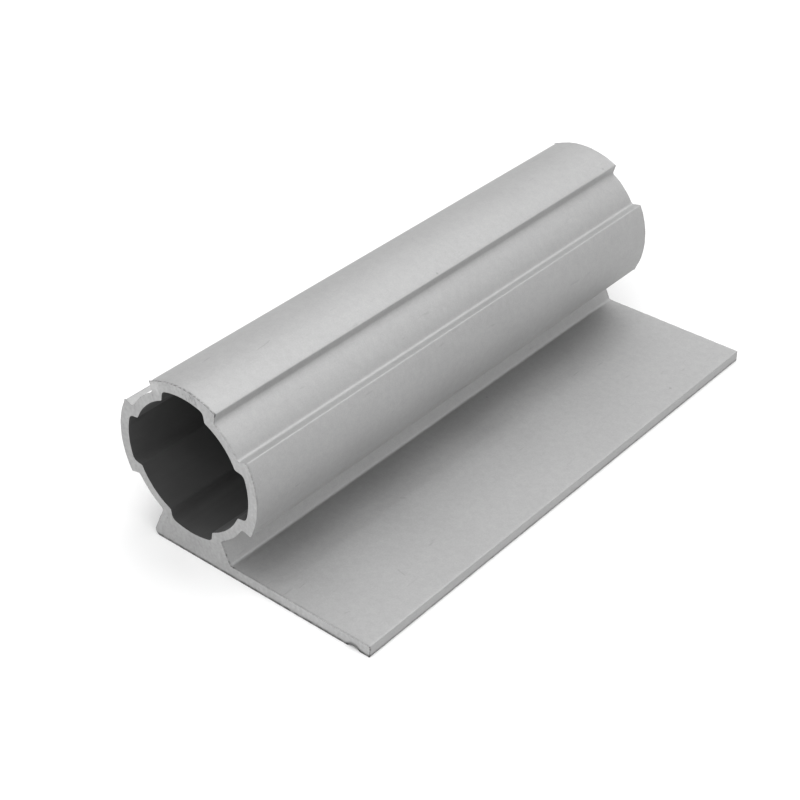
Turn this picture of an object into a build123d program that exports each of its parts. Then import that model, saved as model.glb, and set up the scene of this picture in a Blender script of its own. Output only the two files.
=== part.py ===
from build123d import *
from math import cos, hypot, radians, sin, tan
import os

os.makedirs("parts", exist_ok=True)

# Aluminium extrusion: a lobed tube standing on a wedge foot, with a flat flange to one side.
# +Y runs along the extrusion, +Z is up and the flange points to +X.
# The origin is the bottom centre of the overall box. Lengths are in mm, angles in degrees.

# Overall sizes
sample_length = 100.0
axis_height = 16.6
flange_reach = 35.0

# Outside of the tube: raised lands at the top and both sides, with recesses between them
land_radius = 14.0
recess_depth = 1.7
land_root_half_angle = 30.0
land_flank_lean = 14.0
land_corner = 0.2
land_root_fillet = 0.55

# Inside of the tube: a groove behind each land, so the wall keeps nearly one thickness
land_wall = 1.7
recess_wall = 1.45
groove_root_half_angle = 23.7
groove_flank_lean = -9.0
groove_corner = 1.0
groove_root_round = 0.4

# Foot and flange
foot_root_half_angle = 29.2
foot_flank_lean = 25.0
foot_to_flange_fillet = 0.6
heel_round = 0.9
flange_thickness = 2.0
flange_edge_round = 0.2

# Shallow index groove along the underside, near the flange's free edge
index_groove_inset = 3.0
index_groove_width = 2.3
index_groove_depth = 0.5


def on_circle(radius, half_angle):
    """Point at a radius from the tube's axis, at an angle from straight up."""
    return radius * sin(radians(half_angle)), radius * cos(radians(half_angle))


def corners_at_radius(shape, radius):
    """Corners of a section that lie at one distance from the tube's axis."""
    return shape.vertices().filter_by(lambda v: abs(hypot(v.X, v.Y) - radius) < 0.01)


def corner_at(shape, x, y):
    """The corner of a section at one place."""
    return shape.vertices().filter_by(lambda v: hypot(v.X - x, v.Y - y) < 0.01)


def lobe(tip_radius, root_radius, root_half_angle, lean):
    """Wedge from the axis with straight flanks, closed by an arc at the tip radius."""
    root_x, root_y = on_circle(root_radius, root_half_angle)
    far_y = tip_radius + 1.0
    far_x = root_x + (far_y - root_y) * tan(radians(lean))
    outline = Polyline(
        (0, 0), (root_x, root_y), (far_x, far_y), (-far_x, far_y), (-root_x, root_y), close=True
    )
    return make_face(outline) & Circle(tip_radius)


# Tube outside, drawn round its own axis
recess_radius = land_radius - recess_depth
land = lobe(land_radius, recess_radius, land_root_half_angle, land_flank_lean)
tube = Circle(recess_radius)
for turn in (-90, 0, 90):
    tube += Rot(0, 0, turn) * land
tube = fillet(corners_at_radius(tube, land_radius), land_corner)

# Foot, which takes the place of the bottom land and spreads to the underside
foot_x, foot_y = on_circle(recess_radius, foot_root_half_angle)
foot_spread = tan(radians(foot_flank_lean))
heel_x = foot_x + (axis_height - foot_y) * foot_spread
foot = make_face(
    Polyline(
        (0, 0),
        (foot_x, -foot_y),
        (heel_x, -axis_height),
        (-heel_x, -axis_height),
        (-foot_x, -foot_y),
        close=True,
    )
)

# Flange, a flat strip from under the tube to its free edge
flange_middle = flange_thickness / 2 - axis_height
flange = Pos(flange_reach / 2, flange_middle) * Rectangle(flange_reach, flange_thickness)
section = tube + foot + flange

# Rounded corners of the outside
flange_top = flange_thickness - axis_height
foot_x_at_flange = heel_x - flange_thickness * foot_spread
section = fillet(corners_at_radius(section, recess_radius), land_root_fillet)
section = fillet(corner_at(section, foot_x_at_flange, flange_top), foot_to_flange_fillet)
section = fillet(corner_at(section, -heel_x, -axis_height), heel_round)
section = fillet(corner_at(section, flange_reach, flange_top), flange_edge_round)
section = fillet(corner_at(section, flange_reach, -axis_height), flange_edge_round)

# Bore with a round-cornered groove behind each land and over the foot
groove_radius = land_radius - land_wall
bore_radius = recess_radius - recess_wall
groove = lobe(groove_radius, bore_radius, groove_root_half_angle, groove_flank_lean)
bore = Circle(bore_radius)
for turn in (-90, 0, 90, 180):
    bore += Rot(0, 0, turn) * groove
bore = fillet(corners_at_radius(bore, groove_radius), groove_corner)
bore = fillet(corners_at_radius(bore, bore_radius), groove_root_round)
section -= bore

# Index groove, a shallow arc
half_width = index_groove_width / 2
arc_radius = (half_width**2 + index_groove_depth**2) / (2 * index_groove_depth)
arc_middle = index_groove_depth - arc_radius - axis_height
section -= Pos(flange_reach - index_groove_inset, arc_middle) * Circle(arc_radius)

# Extruded along the length, with the tube's axis off centre in X
axis_x = (land_radius - flange_reach) / 2
far_end = Plane.XZ.offset(-sample_length / 2)
profile = extrude(far_end * Pos(axis_x, axis_height) * section, amount=sample_length)
profile.label = "flanged_tube_profile"
export_step(profile, "parts/flanged_tube_profile.step")
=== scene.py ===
from math import atan2, cos, hypot, pi, radians, sin, sqrt, tan

import bpy
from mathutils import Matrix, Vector


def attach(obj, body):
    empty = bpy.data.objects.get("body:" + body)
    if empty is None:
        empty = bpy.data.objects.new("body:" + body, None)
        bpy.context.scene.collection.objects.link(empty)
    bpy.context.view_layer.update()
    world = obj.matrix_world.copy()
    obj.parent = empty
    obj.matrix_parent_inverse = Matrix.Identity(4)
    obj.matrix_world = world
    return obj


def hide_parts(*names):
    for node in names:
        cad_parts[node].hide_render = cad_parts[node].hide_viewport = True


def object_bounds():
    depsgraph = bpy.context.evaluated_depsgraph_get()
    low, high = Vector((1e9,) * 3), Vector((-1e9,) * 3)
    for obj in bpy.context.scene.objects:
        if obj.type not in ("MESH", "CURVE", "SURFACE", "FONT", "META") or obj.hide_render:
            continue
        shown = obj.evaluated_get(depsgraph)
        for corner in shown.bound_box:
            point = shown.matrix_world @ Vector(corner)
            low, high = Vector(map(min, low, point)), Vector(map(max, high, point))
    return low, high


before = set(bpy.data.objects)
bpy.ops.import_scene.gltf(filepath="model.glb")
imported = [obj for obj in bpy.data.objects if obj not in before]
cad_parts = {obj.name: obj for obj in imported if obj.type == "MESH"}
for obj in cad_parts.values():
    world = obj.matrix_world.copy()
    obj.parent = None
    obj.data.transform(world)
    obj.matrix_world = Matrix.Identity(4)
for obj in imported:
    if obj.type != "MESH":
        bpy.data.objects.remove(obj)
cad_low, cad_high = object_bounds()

# The extrusion: one length of aluminium pressed through a die as a lobed tube on a wedge foot
# with a flange. It is anodised to a satin grey, then sawn square at both ends, which leaves a
# bare face with a thin ragged burr round it. Sizes are in millimetres, angles in degrees.
sample_length = 100.0
axis_height = 16.6
flange_reach = 35.0
flange_thickness = 2.0
flange_edge_round = 0.2

land_radius = 14.0
land_half_angle = 30.0
land_lean = 14.0
land_corner = 0.2
recess_depth = 1.7
recess_round = 0.55

land_wall = 1.7
recess_wall = 1.45
groove_half_angle = 23.7
groove_lean = -9.0
groove_corner = 1.0
groove_root_round = 0.4

foot_half_angle = 29.2
foot_lean = 25.0
foot_to_flange_round = 0.6
heel_round = 0.9

index_groove_inset = 3.0
index_groove_width = 2.3
index_groove_depth = 0.5

long_arc_step = 3.0
round_step = 15.0
index_arc_step = 12.0
point_gap = 0.4

recess_radius = land_radius - recess_depth
groove_radius = land_radius - land_wall
bore_radius = recess_radius - recess_wall
axis_x = (land_radius - flange_reach) / 2


def turn(point, degrees):
    """A point of the section turned round the tube's axis."""
    c, s = cos(radians(degrees)), sin(radians(degrees))
    return c * point[0] - s * point[1], s * point[0] + c * point[1]


def arc(centre, start, end, step):
    """Points on the shorter arc from start to end round a centre, both ends included."""
    radius = hypot(start[0] - centre[0], start[1] - centre[1])
    first = atan2(start[1] - centre[1], start[0] - centre[0])
    sweep = atan2(end[1] - centre[1], end[0] - centre[0]) - first
    sweep = (sweep + pi) % (2 * pi) - pi
    count = max(4, round(abs(sweep) / radians(step)))
    angles = [first + sweep * i / count for i in range(count + 1)]
    return [(centre[0] + radius * cos(a), centre[1] + radius * sin(a)) for a in angles]


def round_where_arc_meets_flank(root, lean, radius, side, circle):
    """Round between a flank through root and a circle round the axis: its points, circle first."""
    along = (sin(radians(lean)), cos(radians(lean)))
    across = (side * along[1], -side * along[0])
    base = (root[0] + across[0] * radius, root[1] + across[1] * radius)
    reach = circle + side * radius
    dot = along[0] * base[0] + along[1] * base[1]
    far = -dot + sqrt(dot**2 - base[0] ** 2 - base[1] ** 2 + reach**2)
    centre = (base[0] + along[0] * far, base[1] + along[1] * far)
    on_circle = (centre[0] * circle / reach, centre[1] * circle / reach)
    on_flank = (centre[0] - across[0] * radius, centre[1] - across[1] * radius)
    return arc(centre, on_circle, on_flank, round_step)


def round_corner(before, corner, after, radius):
    """Round between two straight sides, from the side before the corner to the one after."""
    a = (before[0] - corner[0], before[1] - corner[1])
    b = (after[0] - corner[0], after[1] - corner[1])
    a = (a[0] / hypot(*a), a[1] / hypot(*a))
    b = (b[0] / hypot(*b), b[1] / hypot(*b))
    middle = (a[0] + b[0], a[1] + b[1])
    cosine = a[0] * b[0] + a[1] * b[1]
    back = radius * sqrt((1 + cosine) / (1 - cosine))
    out = radius / sqrt((1 - cosine) / 2) / hypot(*middle)
    centre = (corner[0] + middle[0] * out, corner[1] + middle[1] * out)
    start = (corner[0] + a[0] * back, corner[1] + a[1] * back)
    end = (corner[0] + b[0] * back, corner[1] + b[1] * back)
    return arc(centre, start, end, round_step)


def half_lobe(tip, floor, half_angle, lean, tip_round, root_round):
    """Right half of a lobe that points up: along its tip, down its flank and to mid recess."""
    root = turn((0, floor), -half_angle)
    tip_corner = round_where_arc_meets_flank(root, lean, tip_round, -1, tip)
    root_corner = round_where_arc_meets_flank(root, lean, root_round, 1, floor)[::-1]
    crown = arc((0, 0), (0, tip), tip_corner[0], long_arc_step)
    ditch = arc((0, 0), root_corner[-1], turn((0, floor), -45), long_arc_step)
    return crown[:-1] + tip_corner + root_corner + ditch[1:]


def whole_lobe(half, degrees):
    """Both halves of a lobe, turned to its place; the last point is left to the next lobe."""
    mirrored = [(-x, y) for x, y in half[::-1]]
    return [turn(p, degrees) for p in (mirrored[:-1] + half)[:-1]]


land = half_lobe(
    land_radius, recess_radius, land_half_angle, land_lean, land_corner, recess_round
)
groove = half_lobe(
    groove_radius, bore_radius, groove_half_angle, groove_lean, groove_corner, groove_root_round
)
bore_outline = []
for degrees in (0, -90, -180, -270):
    bore_outline += whole_lobe(groove, degrees)

# the foot's flanks, the flange's corners and the index groove under its free edge
foot_root = turn((0, recess_radius), -foot_half_angle)
foot_spread = tan(radians(foot_lean))
heel = foot_root[0] + (axis_height - foot_root[1]) * foot_spread
foot_round = round_where_arc_meets_flank(foot_root, foot_lean, recess_round, 1, recess_radius)
foot_right = [(x, -y) for x, y in foot_round]
foot_left = [(-x, y) for x, y in foot_right[::-1]]
heel_left = (-heel, -axis_height)
flange_top = flange_thickness - axis_height
flange_foot = (heel - flange_thickness * foot_spread, flange_top)
flange_tip = (flange_reach, flange_top)
flange_toe = (flange_reach, -axis_height)
index_middle = flange_reach - index_groove_inset
index_half = index_groove_width / 2
index_radius = (index_half**2 + index_groove_depth**2) / (2 * index_groove_depth)
index_centre = (index_middle, index_groove_depth - index_radius - axis_height)
index_right = (index_middle + index_half, -axis_height)
index_left = (index_middle - index_half, -axis_height)

outline = []
for degrees in (90, 0, -90):
    outline += whole_lobe(land, degrees)
outline += arc((0, 0), turn((0, recess_radius), -135), foot_right[0], long_arc_step)[:-1]
outline += foot_right
outline += round_corner(foot_right[-1], flange_foot, flange_tip, foot_to_flange_round)
outline += round_corner(flange_foot, flange_tip, flange_toe, flange_edge_round)
outline += round_corner(flange_tip, flange_toe, heel_left, flange_edge_round)
outline += arc(index_centre, index_right, index_left, index_arc_step)
outline += round_corner(flange_toe, heel_left, foot_left[0], heel_round)
outline += foot_left
outline += arc((0, 0), foot_left[-1], turn((0, recess_radius), 135), long_arc_step)[1:-1]


def filled_in(loop, gap):
    """The loop with points added on its straight runs, so that none is longer than the gap."""
    full = []
    for i, (x, y) in enumerate(loop):
        to_x, to_y = loop[(i + 1) % len(loop)]
        count = max(1, round(hypot(to_x - x, to_y - y) / gap))
        full += [(x + (to_x - x) * k / count, y + (to_y - y) * k / count) for k in range(count)]
    return full


# where the saw left a curl of metal standing at a corner: place, width and height
top_left_corner = turn((0, land_radius), 28.4)
left_top_corner = turn((0, land_radius), 61.6)
top_right_corner = turn((0, land_radius), -28.4)
right_low_corner = turn((0, land_radius), -118.4)
curls = (
    (top_left_corner, 0.50, 0.18),
    (left_top_corner, 0.45, 0.16),
    (top_right_corner, 0.35, 0.12),
    (right_low_corner, 0.40, 0.08),
    (flange_tip, 0.30, 0.06),
)


def burr_shade_depth(x, y, inside):
    """How dark the painted shade line along the burr is: strong on the top land, faint in the
    recesses and the bore.
    """
    from_axis = hypot(x, y)
    at_free_edge = x > flange_reach - 0.1
    at_torn_corner = hypot(x - top_right_corner[0], y - top_right_corner[1]) < 0.6
    on_land = y > 0 and from_axis > land_radius - 0.2
    on_tube = y > -12.0 and from_axis < land_radius + 0.1
    in_recess = from_axis < recess_radius + 0.2
    on_flange_top = y > flange_top - 0.3 and x > flange_foot[0] + 1.0
    if inside:
        return 0.1
    if at_free_edge or at_torn_corner:
        return 1.8
    if on_land:
        return 1.0 if y > abs(x) else 0.5
    if on_tube:
        return 0.35 if in_recess else 0.15
    return 0.3 if on_flange_top else 1.2


section = bpy.data.meshes.new("section")
points, edges, outward, in_bore, curl, shade_depth = [], [], [], [], [], []
for loop, inside in ((outline, 0.0), (bore_outline, 1.0)):
    loop = filled_in(loop, point_gap)
    first, count = len(points), len(loop)
    for i, (x, y) in enumerate(loop):
        before, after = loop[i - 1], loop[(i + 1) % count]
        d1 = (x - before[0], y - before[1])
        d2 = (after[0] - x, after[1] - y)
        d1 = (d1[0] / hypot(*d1), d1[1] / hypot(*d1))
        d2 = (d2[0] / hypot(*d2), d2[1] / hypot(*d2))
        side = -1 if inside else 1
        normal = (-(d1[1] + d2[1]) * side, (d1[0] + d2[0]) * side)
        size = hypot(*normal)
        points.append(((x + axis_x) / 1000, (y + axis_height) / 1000, 0))
        outward.append((normal[0] / size, normal[1] / size, 0))
        in_bore.append(inside)
        heights = [h * max(0, 1 - hypot(x - at[0], y - at[1]) / wide) for at, wide, h in curls]
        curl.append(0.0 if inside else max(heights) / 1000)
        shade_depth.append(burr_shade_depth(x, y, inside))
        edges.append((first + i, first + (i + 1) % count))
section.from_pydata(points, edges, [])
directions = section.attributes.new("outward", "FLOAT_VECTOR", "POINT")
directions.data.foreach_set("vector", [v for row in outward for v in row])
for name, values in (("in_bore", in_bore), ("curl", curl), ("shade_depth", shade_depth)):
    section.attributes.new(name, "FLOAT", "POINT").data.foreach_set("value", values)


def put(tree, kind, inputs=(), **settings):
    """A node in a tree, with its settings, and its inputs by name as values or as sockets."""
    node = tree.nodes.new(kind)
    for name, value in settings.items():
        setattr(node, name, value)
    for name, value in dict(inputs).items():
        if isinstance(value, bpy.types.NodeSocket):
            tree.links.new(value, node.inputs[name])
        else:
            node.inputs[name].default_value = value
    return node


def sums(tree, operation, a, b):
    """The result of a Math node on two values or sockets."""
    return put(tree, "ShaderNodeMath", {0: a, 1: b}, operation=operation).outputs[0]


def vectors(tree, operation, a, b):
    """The outputs of a Vector Math node on two vectors or sockets."""
    return put(tree, "ShaderNodeVectorMath", {0: a, 1: b}, operation=operation).outputs


def scaled(tree, vector, factor):
    """A vector made longer or shorter by a factor."""
    inputs = {0: vector, "Scale": factor}
    return put(tree, "ShaderNodeVectorMath", inputs, operation="SCALE").outputs[0]


def spread(tree, value, lowest, highest, to_low, to_high):
    """A value moved from one range to another and held inside it."""
    inputs = {"Value": value, "From Min": lowest, "From Max": highest}
    inputs.update({"To Min": to_low, "To Max": to_high})
    return put(tree, "ShaderNodeMapRange", inputs).outputs[0]


def speckle(tree, place, scale, detail=3.0, stretch=(1.0, 1.0, 1.0), turned=(0.0, 0.0, 0.0)):
    """Noise of a scale per metre, drawn out by a stretch along each axis."""
    laid = put(tree, "ShaderNodeMapping", {"Vector": place, "Scale": stretch, "Rotation": turned})
    inputs = {"Vector": laid.outputs[0], "Scale": scale, "Detail": detail}
    return put(tree, "ShaderNodeTexNoise", inputs).outputs[0]


def metal(name):
    """A new bare metal: its material, its tree, its shader and its object coordinates."""
    finish = bpy.data.materials.new(name)
    finish.use_nodes = True
    tree = finish.node_tree
    shader = tree.nodes["Principled BSDF"]
    shader.inputs["Metallic"].default_value = 1.0
    return finish, tree, shader, put(tree, "ShaderNodeTexCoord").outputs["Object"]


def varied(tree, tone, patterns):
    """A tone times each pattern, which comes in one range and gives factors in another."""
    for pattern, lowest, highest, to_low, to_high in patterns:
        factor = spread(tree, pattern, lowest, highest, to_low, to_high)
        tone = sums(tree, "MULTIPLY", tone, factor)
    return tone


def coloured(tree, shader, tone, height, strength):
    """A grey tone on the shader's colour, and a height on its bump."""
    grey = put(tree, "ShaderNodeCombineColor", {"Red": tone, "Green": tone, "Blue": tone})
    inputs = {"Height": height, "Strength": strength, "Distance": 0.00005}
    bump = put(tree, "ShaderNodeBump", inputs)
    tree.links.new(grey.outputs[0], shader.inputs["Base Color"])
    tree.links.new(bump.outputs[0], shader.inputs["Normal"])


def burr_shade(tree, place, near, full, depth):
    """A factor of painted shade: it darkens the ragged line along the cut outline, less towards the
    far end, and is 1 elsewhere.
    """
    rim = put(tree, "ShaderNodeAttribute", attribute_name="rim").outputs["Fac"]
    shade_depth = put(tree, "ShaderNodeAttribute", attribute_name="shade_depth").outputs["Fac"]
    line = spread(tree, rim, near, full, 0.0, 1.0)
    broken = spread(tree, speckle(tree, place, 2000.0), 0.40, 0.60, 0.1, 1.0)
    along = put(tree, "ShaderNodeSeparateXYZ", {0: place}).outputs["Y"]
    dark = sums(tree, "MULTIPLY", sums(tree, "MULTIPLY", line, broken), shade_depth)
    dark = sums(tree, "MULTIPLY", dark, spread(tree, along, -0.04, 0.04, 1.0, 0.25))
    return spread(tree, dark, 0.0, 1.3, 1.0, 1.0 - 1.3 * depth)


def painted_contact_shade(tree, place, depth):
    """A factor of painted contact shade: it darkens the metal in a patchy line up to 0.6 mm above
    what it lies on, and is 1 elsewhere.
    """
    height = put(tree, "ShaderNodeSeparateXYZ", {0: place}).outputs["Z"]
    line = spread(tree, height, 0.0002, 0.0006, 1.0, 0.0)
    patchiness = spread(tree, speckle(tree, place, 1100.0, 2.0), 0.35, 0.6, 0.55, 1.0)
    return spread(tree, sums(tree, "MULTIPLY", line, patchiness), 0.0, 1.0, 1.0, 1.0 - depth)


def scratch(tree, place, start, end, width):
    """A mask of one fine scratch from start to end, all in millimetres."""
    start = Vector(start) / 1000
    run = Vector(end) / 1000 - start
    away = vectors(tree, "SUBTRACT", place, start)["Vector"]
    share = vectors(tree, "DOT_PRODUCT", away, run)["Value"]
    share = spread(tree, share, 0.0, run.length_squared, 0.0, 1.0)
    gap = vectors(tree, "DISTANCE", away, scaled(tree, run, share))["Value"]
    return spread(tree, gap, 0.0, width / 1000, 1.0, 0.0)


def satin_skin():
    """The anodised skin: etched grain, drawn die lines, clouding, scuffs, specks and scratches, with
    a painted sheen edge on and painted shade at its edges.
    """
    finish, tree, shader, place = metal("satin_anodised")
    grain = speckle(tree, place, 4200.0)
    mottle = speckle(tree, place, 900.0, 2.0)
    clouds = speckle(tree, place, 70.0, 2.0)
    die_lines = speckle(tree, place, 1.0, 4.0, (1700.0, 9.0, 1700.0))
    scuffs = speckle(tree, place, 1.0, 2.0, (1100.0, 170.0, 600.0), (0.0, 0.0, 0.9))

    # about one cell in seven of a loose pattern holds a pit at its middle
    cells = put(tree, "ShaderNodeTexVoronoi", {"Vector": place, "Scale": 230.0}).outputs
    pick = put(tree, "ShaderNodeSeparateColor", {"Color": cells["Color"]}).outputs[0]
    pit = spread(tree, cells["Distance"], 0.03, 0.07, 1.0, 0.0)
    pitted = sums(tree, "MULTIPLY", pit, spread(tree, pick, 0.84, 0.86, 0.0, 1.0))

    # the scratches that the photograph shows: start, end and width in millimetres
    scored = 0.0
    for start, end, width in (
        ((-9.2, -35.8, 30.5), (-9.4, -33.2, 30.6), 0.13),
        ((-9.2, -34.4, 30.5), (-9.6, -32.6, 30.6), 0.10),
        ((16.8, -34.5, 2.0), (18.4, -34.8, 2.0), 0.16),
        ((17.1, -46.8, 2.0), (17.4, -46.1, 2.0), 0.14),
        ((8.4, -47.0, 2.0), (8.3, -45.8, 2.0), 0.12),
        ((6.0, -20.9, 2.0), (6.7, -20.3, 2.0), 0.18),
        ((3.4, -41.8, 15.3), (3.4, -41.0, 15.3), 0.18),
        ((3.5, -20.1, 16.7), (3.5, -19.7, 16.9), 0.16),
    ):
        scored = sums(tree, "MAXIMUM", scored, scratch(tree, place, start, end, width))

    # painted sheen: where the skin is seen edge on, its colour is lightened up to 2.5 times, as a
    # painted white glint of the anodised film, and only high on the tube
    painted_sheen = put(tree, "ShaderNodeLayerWeight", {"Blend": 0.5}).outputs["Facing"]
    up = put(tree, "ShaderNodeSeparateXYZ", {0: place}).outputs["Z"]
    painted_sheen = sums(tree, "MULTIPLY", painted_sheen, spread(tree, up, 0.017, 0.021, 0.0, 1.0))

    tone = varied(tree, spread(tree, clouds, 0.3, 0.7, 0.364, 0.382), (
        (grain, 0.3, 0.7, 0.965, 1.035),
        (mottle, 0.3, 0.7, 0.975, 1.025),
        (die_lines, 0.3, 0.7, 0.985, 1.015),
        (scuffs, 0.70, 0.78, 1.0, 0.90),
        (pitted, 0.0, 1.0, 1.0, 0.82),
        (scored, 0.0, 1.0, 1.0, 0.87),
        (painted_sheen, 0.82, 0.92, 1.0, 2.5),
    ))
    # painted shade: a dark broken line along the burr at each cut end
    tone = sums(tree, "MULTIPLY", tone, burr_shade(tree, place, 0.2, 0.6, 0.5))
    # painted contact shade: a dark line along the bottom, where the skin meets the floor
    tone = sums(tree, "MULTIPLY", tone, painted_contact_shade(tree, place, 0.5))
    roughness = spread(tree, die_lines, 0.3, 0.7, 0.62, 0.66)
    roughness = sums(tree, "ADD", roughness, spread(tree, clouds, 0.3, 0.7, -0.015, 0.02))
    tree.links.new(roughness, shader.inputs["Roughness"])
    relief = sums(tree, "ADD", grain, sums(tree, "MULTIPLY", die_lines, 0.35))
    coloured(tree, shader, tone, relief, 0.07)
    return finish


def sawn_metal():
    """The bare cut: arcs left by the blade's teeth, torn flecks, and painted shade as a dark broken
    line along the burr and along the bottom.
    """
    finish, tree, shader, place = metal("sawn_face")
    shader.inputs["Roughness"].default_value = 0.52
    blade = put(tree, "ShaderNodeMapping", {"Vector": place, "Location": (0.16, 0.0, 0.02)})
    inputs = {"Vector": blade.outputs[0], "Scale": 300.0, "Distortion": 6.0}
    inputs.update({"Detail": 4.0, "Detail Scale": 2.5})
    rings = {"wave_type": "RINGS", "rings_direction": "Y"}
    arcs = put(tree, "ShaderNodeTexWave", inputs, **rings).outputs["Fac"]
    fleck = speckle(tree, place, 1900.0, 4.0)
    patches = speckle(tree, place, 260.0, 2.0)
    nicks = speckle(tree, place, 1.0, 2.0, (2600.0, 700.0, 1100.0), (0.0, 0.7, 0.0))

    # a bruise and a pale patch on the near cut, and painted shade round the index groove's mouth
    bruise_at = Vector((-8.6, -50.0, 29.9)) / 1000
    pale_patch_at = Vector((-16.2, -50.0, 28.3)) / 1000
    groove_at = Vector((index_middle + axis_x, 0.0, -0.6)) / 1000
    to_bruise = vectors(tree, "DISTANCE", place, bruise_at)["Value"]
    bruised = sums(tree, "ADD", nicks, spread(tree, to_bruise, 0.0, 0.0024, 0.26, 0.0))
    to_pale_patch = vectors(tree, "DISTANCE", place, pale_patch_at)["Value"]
    in_section = vectors(tree, "MULTIPLY", place, (1.0, 0.0, 1.0))["Vector"]
    to_groove = vectors(tree, "DISTANCE", in_section, groove_at)["Value"]

    across = put(tree, "ShaderNodeSeparateXYZ", {0: place}).outputs["X"]
    tone = varied(tree, spread(tree, across, -0.022, 0.0, 0.37, 0.408), (
        (arcs, 0.0, 1.0, 0.975, 1.025),
        (fleck, 0.3, 0.7, 0.91, 1.09),
        (patches, 0.35, 0.65, 0.95, 1.05),
        (bruised, 0.66, 0.74, 1.0, 0.76),
        (to_pale_patch, 0.0004, 0.0014, 1.2, 1.0),
        (to_groove, 0.0014, 0.0018, 0.45, 1.0),
    ))
    # painted shade: a dark broken line along the burr round the cut
    tone = sums(tree, "MULTIPLY", tone, burr_shade(tree, place, 0.2, 0.45, 0.7))
    # painted contact shade: a dark line along the bottom of the cut, where it meets the floor
    tone = sums(tree, "MULTIPLY", tone, painted_contact_shade(tree, place, 0.78))
    relief = sums(tree, "ADD", arcs, sums(tree, "MULTIPLY", fleck, 0.5))
    coloured(tree, shader, tone, relief, 0.1)
    return finish


def drawn_bore():
    """The bore's duller skin, with a dark tone that is painted shade for the inside of the tube, and
    the die's lines along it.
    """
    finish, tree, shader, place = metal("bore_skin")
    shader.inputs["Roughness"].default_value = 1.0
    lines = speckle(tree, place, 1.0, 4.0, (1200.0, 7.0, 1200.0))
    clouds = speckle(tree, place, 160.0)
    # painted shade: the bore's tone is set far darker than the outer skin's, to stand for the little
    # light inside the tube
    tone = spread(tree, lines, 0.3, 0.7, 0.127, 0.134)
    tone = varied(tree, tone, ((clouds, 0.3, 0.7, 0.94, 1.06),))
    coloured(tree, shader, tone, lines, 0.08)
    return finish


# The tree draws the section out to length. At each end it goes from the flat cut face out to the
# burr's ragged lip, back to the skin, and on along the skin; then it fills both cut faces.
drawing = bpy.data.node_groups.new("draw_and_saw", "GeometryNodeTree")
sockets = {}
for name, kind in (
    ("Section", "NodeSocketGeometry"),
    ("Length", "NodeSocketFloat"),
    ("Cut Rim", "NodeSocketFloat"),
    ("Burr Height", "NodeSocketFloat"),
    ("Burr Grain", "NodeSocketFloat"),
    ("Burr Seed", "NodeSocketFloat"),
    ("Burr Lip", "NodeSocketFloat"),
    ("Burr Root", "NodeSocketFloat"),
    ("Worn Strip", "NodeSocketFloat"),
    ("Stock Low", "NodeSocketVector"),
    ("Stock High", "NodeSocketVector"),
    ("Skin", "NodeSocketMaterial"),
    ("Bore", "NodeSocketMaterial"),
    ("Sawn Face", "NodeSocketMaterial"),
):
    sockets[name] = drawing.interface.new_socket(name=name, in_out="INPUT", socket_type=kind)
drawing.interface.new_socket(name="Profile", in_out="OUTPUT", socket_type="NodeSocketGeometry")
given = put(drawing, "NodeGroupInput").outputs


def stored(name, kind="FLOAT"):
    """A named attribute of the mesh."""
    return put(drawing, "GeometryNodeInputNamedAttribute", {"Name": name}, data_type=kind).outputs[0]


def keep(mesh, name, value, kind="FLOAT", domain="POINT", where=True):
    """The mesh with a value kept on it as a named attribute."""
    inputs = {"Geometry": mesh, "Selection": where, "Name": name, "Value": value}
    node = put(drawing, "GeometryNodeStoreNamedAttribute", inputs, data_type=kind, domain=domain)
    return node.outputs[0]


def changed(kind, mesh, inputs=()):
    """The mesh after a node that takes and gives one geometry."""
    return put(drawing, kind, {"Geometry": mesh, **dict(inputs)}).outputs[0]


def above(value, limit):
    """Whether a value is over a limit."""
    return put(drawing, "FunctionNodeCompare", {0: value, 1: limit}, data_type="FLOAT").outputs[0]


def shift(out, along):
    """Offset by a distance outward from the metal and a distance along the length."""
    away = scaled(drawing, stored("outward", "FLOAT_VECTOR"), out)
    straight = put(drawing, "ShaderNodeCombineXYZ", {"Z": along}).outputs[0]
    return vectors(drawing, "ADD", away, straight)["Vector"]


def ragged(seed):
    """The burr's height along the outline of one cut: low in the bore, and high at the curls."""
    inputs = {"Scale": given["Burr Grain"], "Detail": 3.0, "W": seed}
    wander = put(drawing, "ShaderNodeTexNoise", inputs, noise_dimensions="4D").outputs[0]
    wander = spread(drawing, wander, 0.38, 0.72, -0.25, 1.0)
    lip = sums(drawing, "MULTIPLY", wander, given["Burr Height"])
    outside = spread(drawing, stored("in_bore"), 0.0, 1.0, 1.0, 0.2)
    return sums(drawing, "ADD", sums(drawing, "MULTIPLY", lip, outside), stored("curl"))


half_length = sums(drawing, "MULTIPLY", given["Length"], 0.5)
start = sums(drawing, "MULTIPLY", half_length, -1.0)
inward = sums(drawing, "MULTIPLY", given["Cut Rim"], -1.0)
burr_run = sums(drawing, "ADD", given["Burr Lip"], given["Burr Root"])
end_run = sums(drawing, "ADD", burr_run, given["Worn Strip"])
both_ends = sums(drawing, "MULTIPLY", end_run, 2.0)
long_run = sums(drawing, "SUBTRACT", given["Length"], both_ends)
far_seed = sums(drawing, "ADD", given["Burr Seed"], 5.0)
wires = keep(given["Section"], "near_burr", ragged(given["Burr Seed"]))
wires = keep(wires, "far_burr", ragged(far_seed))
wires = changed("GeometryNodeSetPosition", wires, {"Offset": shift(inward, start)})
near_burr, far_burr = stored("near_burr"), stored("far_burr")

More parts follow.
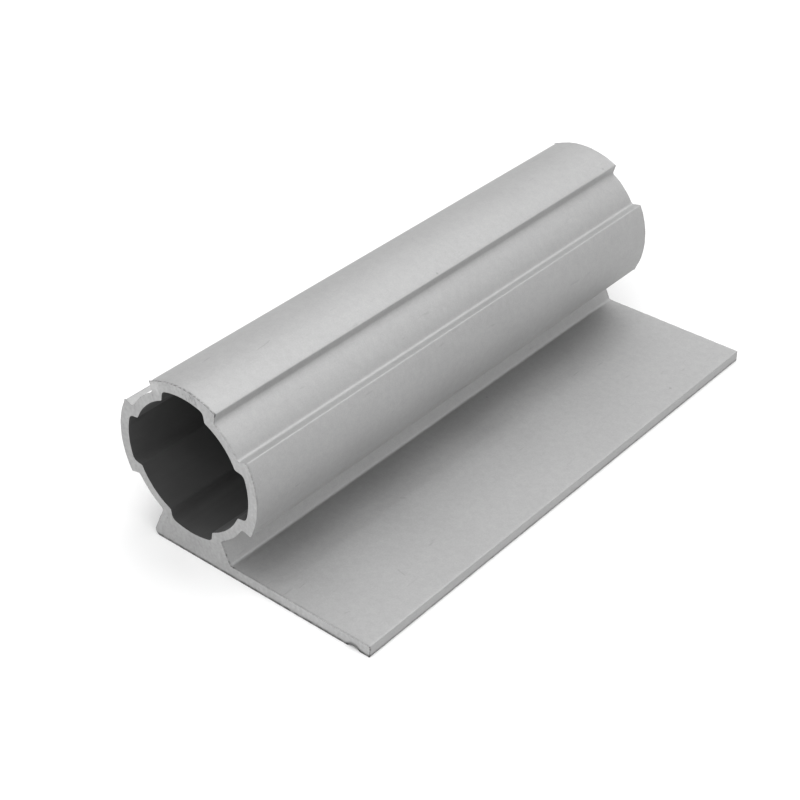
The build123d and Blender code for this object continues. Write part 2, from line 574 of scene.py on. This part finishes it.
# each ring, from the near cut to the far one: how far it goes outward and along the length from
# the ring before it, and how much of the painted shade line along the burr it carries
drawn_out, last = wires, True
for out, along, rim in (
    (sums(drawing, "ADD", given["Cut Rim"], near_burr), 0.0, 1.0),
    (0.0, given["Burr Lip"], 1.0),
    (sums(drawing, "MULTIPLY", near_burr, -1.0), given["Burr Root"], 0.6),
    (0.0, given["Worn Strip"], 0.0),
    (0.0, long_run, 0.0),
    (0.0, given["Worn Strip"], 0.6),
    (far_burr, given["Burr Root"], 1.0),
    (0.0, given["Burr Lip"], 1.0),
    (sums(drawing, "SUBTRACT", inward, far_burr), 0.0, 0.0),
):
    inputs = {"Mesh": drawn_out, "Selection": last, "Offset": shift(out, along), "Offset Scale": 1.0}
    pulled = put(drawing, "GeometryNodeExtrudeMesh", inputs, mode="EDGES").outputs
    last = pulled["Top"]
    drawn_out = keep(pulled["Mesh"], "rim", rim, where=last)

round_cut = put(drawing, "GeometryNodeMeshToCurve", {"Mesh": wires}).outputs[0]
face = put(drawing, "GeometryNodeFillCurve", {"Curve": round_cut}).outputs[0]
joined = put(drawing, "GeometryNodeJoinGeometry")
drawing.links.new(drawn_out, joined.inputs[0])
for place in (start, half_length):
    where = put(drawing, "ShaderNodeCombineXYZ", {"Z": place}).outputs[0]
    cut = changed("GeometryNodeTransform", face, {"Translation": where})
    drawing.links.new(cut, joined.inputs[0])
whole = changed("GeometryNodeMergeByDistance", joined.outputs[0], {"Distance": 1e-6})
whole = changed("GeometryNodeSetShadeSmooth", whole)
bend = put(drawing, "GeometryNodeInputMeshEdgeAngle").outputs[0]
whole = keep(whole, "sharp_edge", above(bend, 0.5), "BOOLEAN", "EDGE")

# laid down along the floor, and held inside the box of the stock it was cut from
whole = changed("GeometryNodeTransform", whole, {"Rotation": (pi / 2, 0.0, 0.0)})
held = put(drawing, "GeometryNodeInputPosition").outputs[0]
for limit, operation in (("Stock Low", "MAXIMUM"), ("Stock High", "MINIMUM")):
    held = vectors(drawing, operation, held, given[limit])["Vector"]
whole = changed("GeometryNodeSetPosition", whole, {"Position": held})
whole = changed("GeometryNodeRealizeInstances", whole)

facing = put(drawing, "GeometryNodeInputNormal").outputs[0]
facing = put(drawing, "ShaderNodeSeparateXYZ", {0: facing}).outputs["Y"]
square = put(drawing, "ShaderNodeMath", {0: facing}, operation="ABSOLUTE").outputs[0]
is_sawn = above(square, 0.95)
is_bore = above(stored("in_bore"), 0.5)
for finish, where in (("Skin", True), ("Bore", is_bore), ("Sawn Face", is_sawn)):
    inputs = {"Selection": where, "Material": given[finish]}
    whole = changed("GeometryNodeSetMaterial", whole, inputs)
put(drawing, "NodeGroupOutput", {"Profile": whole})

blank = bpy.data.objects.new("blank", section)
bpy.context.scene.collection.objects.link(blank)
draw = blank.modifiers.new("draw", "NODES")
draw.node_group = drawing
for name, value in (
    ("Length", sample_length / 1000),
    ("Cut Rim", 0.00012),
    ("Burr Height", 0.00008),
    ("Burr Grain", 900.0),
    ("Burr Seed", 2.0),
    ("Burr Lip", 0.00003),
    ("Burr Root", 0.00006),
    ("Worn Strip", 0.0004),
    ("Stock Low", list(cad_low)),
    ("Stock High", list(cad_high)),
    ("Skin", satin_skin()),
    ("Bore", drawn_bore()),
    ("Sawn Face", sawn_metal()),
):
    draw[sockets[name].identifier] = value
view_layer = bpy.context.evaluated_depsgraph_get()
profile_mesh = bpy.data.meshes.new_from_object(blank.evaluated_get(view_layer))
bpy.data.objects.remove(blank)
profile_mesh.name = "extrusion"
profile = bpy.data.objects.new("extrusion", profile_mesh)
bpy.context.scene.collection.objects.link(profile)
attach(profile, "root")
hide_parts("flanged_tube_profile")

# The floor: a wide pale sheet of studio paper that the sample lies on. It takes the sample's
# shadow in the middle and glows evenly further out, where the soft boxes don't reach.
floor_half = 4.0
glow_starts, glow_is_full = 0.25, 0.7
floor_mesh = bpy.data.meshes.new("floor")
corners = [(x * floor_half, y * floor_half, 0) for x, y in ((-1, -1), (1, -1), (1, 1), (-1, 1))]
floor_mesh.from_pydata(corners, [], [(0, 1, 2, 3)])
floor = bpy.data.objects.new("floor", floor_mesh)
bpy.context.scene.collection.objects.link(floor)
paper = bpy.data.materials.new("paper")
paper.use_nodes = True
tree = paper.node_tree
tree.nodes.clear()
lit = put(tree, "ShaderNodeBsdfDiffuse", {"Color": (0.9, 0.9, 0.9, 1.0)})
bright = put(tree, "ShaderNodeEmission", {"Color": (1.0, 1.0, 1.0, 1.0), "Strength": 1.0})
middle = put(tree, "ShaderNodeTexCoord").outputs["Object"]
away = put(tree, "ShaderNodeVectorMath", {0: middle}, operation="LENGTH").outputs["Value"]
glow = spread(tree, away, glow_starts, glow_is_full, 0.0, 1.0)
both = put(tree, "ShaderNodeMixShader", {0: glow, 1: lit.outputs[0], 2: bright.outputs[0]})
put(tree, "ShaderNodeOutputMaterial", {"Surface": both.outputs[0]})
floor_mesh.materials.append(paper)

# The light: a white room, which the camera and the metal see at full strength and which lights
# the sample at half of it. Round soft boxes stand round the sample, all at one distance, and the
# strongest are above it and in front.
world = bpy.data.worlds.new("white_room")
bpy.context.scene.world = world
world.use_nodes = True
tree = world.node_tree
tree.nodes.clear()
path = put(tree, "ShaderNodeLightPath").outputs
seen = sums(tree, "MAXIMUM", path["Is Camera Ray"], path["Is Glossy Ray"])
seen = sums(tree, "MAXIMUM", seen, path["Is Transmission Ray"])
dim = put(tree, "ShaderNodeBackground", {"Color": (1.0, 1.0, 1.0, 1.0), "Strength": 0.5})
bright = put(tree, "ShaderNodeBackground", {"Color": (1.0, 1.0, 1.0, 1.0), "Strength": 1.0})
both = put(tree, "ShaderNodeMixShader", {0: seen, 1: dim.outputs[0], 2: bright.outputs[0]})
put(tree, "ShaderNodeOutputWorld", {"Surface": both.outputs[0]})

box_distance = 0.8
box_width = 0.5
for name, azimuth, height, power in (
    ("top_box", 0, 90, 1.85),
    ("front_box", 0, 43, 1.15),
    ("right_front_high_box", 45, 50, 0.95),
    ("right_front_low_box", 45, 25, 0.9),
    ("right_box", 90, 52, 0.65),
    ("back_right_box", 135, 52, 0.42),
    ("back_box", 180, 54, 0.78),
    ("back_left_box", 225, 60, 0.5),
    ("left_front_box", 315, 50, 0.3),
    ("left_low_box", 295, 25, 0.3),
):
    side, up = radians(azimuth), radians(height)
    place = box_distance * Vector((sin(side) * cos(up), -cos(side) * cos(up), sin(up)))
    box = bpy.data.lights.new(name, "AREA")
    box.shape = "DISK"
    box.size = box_width
    box.energy = power
    lamp = bpy.data.objects.new(name, box)
    lamp.location = place
    lamp.rotation_euler = (-place).to_track_quat("-Z", "Y").to_euler()
    bpy.context.scene.collection.objects.link(lamp)

# The camera: it stands to the right of the near end and above it, at the photograph's height and
# direction, with the photograph's lens. A small shift puts the sample where the frame has it.
camera = bpy.data.cameras.new("camera")
camera.sensor_width = 36.0
camera.lens = 78.2
camera.shift_y = 0.05
camera.clip_start, camera.clip_end = 0.01, 20.0
eye = bpy.data.objects.new("camera", camera)
eye.location = (0.1421, -0.18704, 0.16919)
eye.rotation_euler = (radians(54.01), radians(-0.447), radians(39.695))
bpy.context.scene.collection.objects.link(eye)
bpy.context.scene.camera = eye
bpy.context.scene.view_settings.view_transform = "Standard"
